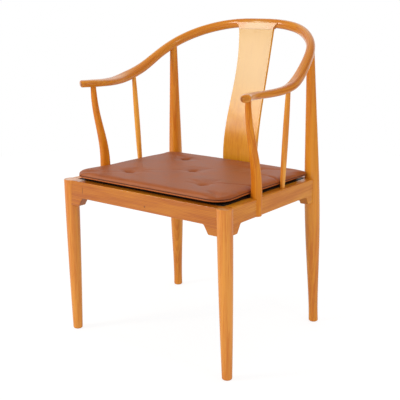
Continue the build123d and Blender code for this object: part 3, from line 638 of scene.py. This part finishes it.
def padBlank():
    bm = bmesh.new()
    bm.from_mesh(nodes["cushion_pad"].data)
    bmesh.ops.remove_doubles(bm, verts=bm.verts, dist=1e-5)
    # the modelled tuft holes are closed again
    sunk = [v for v in bm.verts
            if cushion["sideTop"] * mm < v.co.z - seatTop(v.co.y) < (cushion["modelTop"] - 1) * mm
            and tuftDistance(v.co.x, v.co.y) < cushion["tuftHole"] * mm]
    bmesh.ops.delete(bm, geom=sunk, context="VERTS")
    bmesh.ops.holes_fill(bm, edges=[e for e in bm.edges if e.is_boundary], sides=0)
    low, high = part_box("cushion_pad")
    middle = (low + high) / 2
    halfWidth, halfDepth = (high.x - low.x) / 2, (high.y - low.y) / 2
    squeeze = (cushion["startTop"] - cushion["bottom"]) / (cushion["modelTop"] - cushion["modelBottom"])
    for v in bm.verts:
        above = v.co.z - seatTop(v.co.y)
        share = max(0.0, (v.co.y - cushion["flareFrom"] * mm) / (cushion["flareLength"] * mm))
        spread = cushion["spread"] + min(1.0, share) ** 2 * cushion["rearFlare"]
        v.co.x = middle.x + (v.co.x - middle.x) * (1 + spread * mm / halfWidth)
        v.co.y = middle.y + (v.co.y - middle.y) * (1 + spread * mm / halfDepth)
        v.co.z = seatTop(v.co.y) + (cushion["bottom"] * mm + (above - cushion["modelBottom"] * mm) * squeeze)
    return bm


def inflate(pad):
    swell = pad.modifiers.new("swell", "CLOTH")
    cloth = swell.settings
    cloth.quality = 5
    cloth.mass = cushion["mass"]
    cloth.use_pressure = True
    cloth.uniform_pressure_force = cushion["pressure"]
    cloth.effector_weights.gravity = 0
    cloth.tension_stiffness = cushion["stretch"]
    cloth.compression_stiffness = cushion["stretch"]
    cloth.bending_stiffness = cushion["bending"]
    cloth.vertex_group_mass = "held"
    swell.collision_settings.use_collision = False
    scene = bpy.context.scene
    for step in range(1, cushion["lastFrame"] + 1):
        scene.frame_set(step)
    evaluated = pad.evaluated_get(bpy.context.evaluated_depsgraph_get())
    swollen = [v.co.copy() for v in evaluated.data.vertices]
    pad.modifiers.clear()
    scene.frame_set(1)
    return swollen


def makePad():
    pad = newPiece("cushionPad", padBlank(), cognac)
    remesh = pad.modifiers.new("skin", "REMESH")
    remesh.mode = "VOXEL"
    remesh.voxel_size = cushion["voxel"] * mm
    skin = bpy.data.meshes.new_from_object(pad.evaluated_get(bpy.context.evaluated_depsgraph_get()))
    pad.modifiers.clear()
    pad.data = skin
    skin.materials.clear()
    skin.materials.append(cognac)
    held = pad.vertex_groups.new(name="held")
    blend = cushion["tuftBlend"]
    for v in skin.vertices:
        above = (v.co.z - seatTop(v.co.y)) / mm
        near = tuftDistance(v.co.x, v.co.y) / mm
        if above > cushion["topFrom"]:  # the top is drawn down to each button
            share = math.exp(-max(0.0, near - cushion["tuftHold"]) ** 2 / (2 * blend ** 2 / 4))
            v.co.z -= (above - cushion["tuftFloor"]) * share * mm if near < 3 * blend else 0
            if near < cushion["tuftHold"]:
                held.add([v.index], 1.0, "REPLACE")
        elif above < cushion["bottom"] + cushion["heldRim"]:
            held.add([v.index], 1.0, "REPLACE")
    starts = [v.co.copy() for v in skin.vertices]
    for v, start, end in zip(skin.vertices, starts, inflate(pad)):
        move = end - start
        if move.length > cushion["cap"] * mm:
            move *= cushion["cap"] * mm / move.length
        v.co = start + move
    bm = bmesh.new()
    bm.from_mesh(skin)
    for turn in range(3):
        bmesh.ops.smooth_vert(bm, verts=bm.verts, factor=0.5, use_axis_x=True, use_axis_y=True, use_axis_z=True)
    bmesh.ops.subdivide_edges(bm, edges=bm.edges, cuts=1, smooth=0.6, use_grid_fill=True)
    for v in bm.verts:
        above = (v.co.z - seatTop(v.co.y)) / mm
        if above > cushion["sideTop"]:
            v.co.z -= wrinkleDepth(v.co.x / mm, v.co.y / mm) * min(1.0, (above - cushion["sideTop"]) / 6) * mm
            for index, (tx, ty) in enumerate(seat["tufts"]):
                dx, dy = v.co.x / mm - tx, v.co.y / mm - ty
                reach = math.hypot(dx, dy)
                if reach > cushion["creaseReach"]:
                    continue
                # one long crease through the button and a few short puckers round it
                swing = cushion["creaseSwing"] * noise.noise((dx / 20, index * 7.3, 0.5))
                crease = math.exp(-((dy + swing * dx) / cushion["creaseWidth"]) ** 2
                                  - (dx / cushion["creaseLength"]) ** 2)
                pucker = math.exp(-((reach - cushion["puckerAt"]) / cushion["puckerWidth"]) ** 2)
                pucker *= math.cos(cushion["puckers"] * math.atan2(dy, dx) + index * 1.9)
                v.co.z -= (cushion["creaseDepth"] * crease + cushion["puckerDepth"] * pucker) * mm
        v.co.z = max(v.co.z, seatTop(v.co.y) + (cushion["bottom"] + 0.05) * mm)
    pad.data = bpy.data.meshes.new("cushionPad")
    bm.to_mesh(pad.data)
    bm.free()
    pad.data.materials.append(cognac)
    shadeSmooth(pad)
    return pad


pad = makePad()
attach(pad, "cushion")
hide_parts("cushion_pad")
print("pad made:", len(pad.data.polygons), "faces")

welt = {"radius": 1.7, "height": 10.3, "step": 8.0}  # mm


def makePiping():  # a leather cord sewn in round the lower edge
    bm = bmesh.new()
    bm.from_mesh(nodes["cushion_pad"].data)
    bmesh.ops.remove_doubles(bm, verts=bm.verts, dist=1e-5)
    rim = [v.co.copy() for v in bm.verts if abs(v.co.z - seatTop(v.co.y) - cushion["modelBottom"] * mm) < 0.2 * mm]
    bm.free()
    low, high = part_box("cushion_pad")
    middle = (low + high) / 2
    rim.sort(key=lambda p: math.atan2(p.y - middle.y, p.x - middle.x))
    surface = BVHTree.FromObject(pad, bpy.context.evaluated_depsgraph_get())
    path = []
    for start, end in zip(rim, rim[1:] + rim[:1]):
        steps = max(1, round((end - start).length / (welt["step"] * mm)))
        for step in range(steps):
            point = start.lerp(end, step / steps)
            point.z = seatTop(point.y) + welt["height"] * mm
            found = surface.find_nearest(point)[0]
            path.append(Vector((found.x, found.y, point.z)))
    line = bpy.data.curves.new("piping", "CURVE")
    line.dimensions = "3D"
    spline = line.splines.new("NURBS")
    spline.points.add(len(path) - 1)
    for spot, point in zip(spline.points, path):
        spot.co = (*point, 1)
    spline.use_cyclic_u = True
    spline.order_u = 3
    line.resolution_u = 1
    line.bevel_depth = welt["radius"] * mm
    line.bevel_resolution = 2
    holder = bpy.data.objects.new("pipingLine", line)
    bpy.context.scene.collection.objects.link(holder)
    data = bpy.data.meshes.new_from_object(holder.evaluated_get(bpy.context.evaluated_depsgraph_get()))
    bpy.data.objects.remove(holder)
    bm = bmesh.new()
    bm.from_mesh(data)
    made = newPiece("cushionPiping", bm, pipingLeatherLit)
    shadeSmooth(made)
    return made


piping = makePiping()
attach(piping, "cushion")
print("piping sewn on")

button = {"radius": 6.6, "rise": 2.6, "skirt": 1.6, "skirtShare": 0.92, "sink": 0.6, "around": 28, "up": 6}  # mm


def makeButtons():  # covered buttons: a low dome over a short skirt
    surface = BVHTree.FromObject(pad, bpy.context.evaluated_depsgraph_get())
    bm = bmesh.new()
    for tx, ty in seat["tufts"]:
        x, y = tx * mm, ty * mm
        foot = surface.ray_cast(Vector((x, y, 1)), Vector((0, 0, -1)))[0]
        base = foot.z - button["sink"] * mm
        profile = [(button["radius"] * button["skirtShare"], -button["skirt"]), (button["radius"], 0)]
        for step in range(1, button["up"]):
            angle = math.radians(90 * step / button["up"])
            profile.append((button["radius"] * math.cos(angle), button["rise"] * math.sin(angle)))
        profile.append((0, button["rise"]))
        verts = [bm.verts.new((x + r * mm, y, base + h * mm)) for r, h in profile]
        edges = [bm.edges.new(pair) for pair in zip(verts, verts[1:])]
        bmesh.ops.spin(bm, geom=verts + edges, cent=(x, y, base), axis=(0, 0, 1), angle=2 * math.pi,
                       steps=button["around"], use_merge=True)
    bmesh.ops.remove_doubles(bm, verts=bm.verts, dist=1e-6)
    bmesh.ops.holes_fill(bm, edges=[e for e in bm.edges if e.is_boundary], sides=0)
    bmesh.ops.recalc_face_normals(bm, faces=bm.faces)
    made = newPiece("cushionButtons", bm, cognac)
    shadeSmooth(made)
    return made


buttons = makeButtons()
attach(buttons, "cushion")
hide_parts("cushion_buttons")
print("buttons tied down")

stiffBoard = {"rimAngle": 60, "rimRadius": 2.2, "tuck": 0.3}  # mm and degrees


def makeBase():  # stiff board wrapped in lining
    bm = bmesh.new()
    bm.from_mesh(nodes["cushion_base"].data)
    bmesh.ops.remove_doubles(bm, verts=bm.verts, dist=1e-5)
    bmesh.ops.dissolve_limit(bm, angle_limit=math.radians(1), verts=bm.verts, edges=bm.edges)
    for v in bm.verts:  # up into the cover, which starts above the modelled base
        if v.co.z - seatTop(v.co.y) > cushion["modelBottom"] / 2 * mm:
            v.co.z += (cushion["bottom"] - cushion["modelBottom"] + stiffBoard["tuck"]) * mm
    rims = [e for e in bm.edges
            if len(e.link_faces) == 2 and e.calc_face_angle() > math.radians(stiffBoard["rimAngle"])]
    bmesh.ops.bevel(bm, geom=rims, offset=stiffBoard["rimRadius"] * mm, offset_type="OFFSET", segments=3, profile=0.5,
                    material=-1, affect="EDGES")
    made = newPiece("cushionBase", bm, blackLining)
    shadeSmooth(made)
    return made


base = makeBase()
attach(base, "cushion")
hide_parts("cushion_base")
print("base lined")

# lamps in metres and watts
studio = {
    "key": {"place": (-1.6, -2.2, 1.7), "size": (0.6, 1.3), "power": 30.0, "tint": "#fff9ee", "aim": (0, 0.2, 0.65)},
    "strip": {"place": (2.3, -0.4, 1.3), "size": (0.15, 0.8), "power": 4.0, "tint": "#ffffff", "aim": (0, 0.1, 0.7)},
    "top": {"place": (0.0, 0.6, 2.7), "size": (2.2, 2.2), "power": 3.0, "tint": "#ffffff", "aim": (0, 0.0, 0.4)},
}
room = {
    "level": 0.94,  # what the colours see: level light from all round, weaker from above
    "above": 0.66,
    "dim": 0.05,  # what gloss mirrors: white paper behind the chair, a dim room on the other sides
    "paperWay": (-0.6, 0.8, 0.0),
    "paperEdge": (0.4, 0.85),
}


def makeLamp(name, facts):
    light = bpy.data.lights.new(name, "AREA")
    light.shape = "RECTANGLE"
    light.size, light.size_y = facts["size"]
    light.energy = facts["power"]
    light.color = paint(facts["tint"])[:3]
    lamp = bpy.data.objects.new(name, light)
    lamp.location = facts["place"]
    lamp.rotation_euler = (Vector(facts["aim"]) - lamp.location).to_track_quat("-Z", "Y").to_euler()
    bpy.context.scene.collection.objects.link(lamp)


for name, facts in studio.items():
    makeLamp(name + "Softbox", facts)


def lightRoom():
    world = bpy.data.worlds.new("studio")
    bpy.context.scene.world = world
    world.use_nodes = True
    tree = world.node_tree
    tree.nodes.clear()
    path = addNode(tree, "ShaderNodeLightPath").outputs
    way = addNode(tree, "ShaderNodeTexCoord").outputs["Generated"]
    toward = addNode(tree, "ShaderNodeVectorMath", {"operation": "DOT_PRODUCT"}, {0: way, 1: room["paperWay"]})
    low, high = room["paperEdge"]
    mirror = addNode(tree, "ShaderNodeMapRange", eased,
                     {0: toward.outputs["Value"], 1: low, 2: high, 3: room["dim"], 4: 1.0})
    split = addNode(tree, "ShaderNodeSeparateXYZ", plain, {0: way})
    height = addNode(tree, "ShaderNodeMath", magnitude, {0: split.outputs[2]})
    ambient = addNode(tree, "ShaderNodeMapRange", plain, {0: height, 3: room["level"], 4: room["above"]})
    mirrored = addNode(tree, "ShaderNodeMath", {"operation": "MAXIMUM"},
                       {0: path["Is Glossy Ray"], 1: path["Is Transmission Ray"]})
    level = addNode(tree, "ShaderNodeMix", {"data_type": "FLOAT"}, {0: mirrored, 2: ambient, 3: mirror})
    shown = addNode(tree, "ShaderNodeMix", {"data_type": "FLOAT"}, {0: path["Is Camera Ray"], 2: level, 3: 1.0})
    sky = addNode(tree, "ShaderNodeBackground", plain, {"Color": (1, 1, 1, 1), "Strength": shown})
    addNode(tree, "ShaderNodeOutputWorld", plain, {"Surface": sky})


paper = {"radius": 2.6, "grey": (0.8, 0.8, 0.8, 1), "shownGrey": (0.22, 0.22, 0.22, 1), "glow": 0.84}


def makeFloor():
    bm = bmesh.new()
    bmesh.ops.create_circle(bm, cap_ends=True, segments=96, radius=paper["radius"])
    material, tree = newMaterial("whitePaperFloor")
    path = addNode(tree, "ShaderNodeLightPath")
    real = addNode(tree, "ShaderNodeBsdfDiffuse", plain, {"Color": paper["grey"]})
    # for the camera the paper glows white and keeps a faint shadow
    faint = addNode(tree, "ShaderNodeBsdfDiffuse", plain, {"Color": paper["shownGrey"]})
    glow = addNode(tree, "ShaderNodeEmission", plain, {"Color": (1, 1, 1, 1), "Strength": paper["glow"]})
    seen = addNode(tree, "ShaderNodeAddShader", plain, {0: faint, 1: glow})
    mixed = addNode(tree, "ShaderNodeMixShader", plain, {0: path.outputs["Is Camera Ray"], 1: real, 2: seen})
    addNode(tree, "ShaderNodeOutputMaterial", plain, {"Surface": mixed})
    floor = newPiece("floor", bm, material)


lightRoom()
makeFloor()

camera = {"place": (1.2154, -1.6278, 0.8758), "turn": (90 - 14.52, 0, 37.05), "lens": 70.28, "sensor": 36}
view = bpy.data.cameras.new("camera")
view.lens = camera["lens"]
view.sensor_width = camera["sensor"]
viewer = bpy.data.objects.new("camera", view)
viewer.location = camera["place"]
viewer.rotation_euler = [math.radians(a) for a in camera["turn"]]
bpy.context.scene.collection.objects.link(viewer)
bpy.context.scene.camera = viewer
bpy.context.scene.view_settings.view_transform = "Standard"
print("studio and camera set")
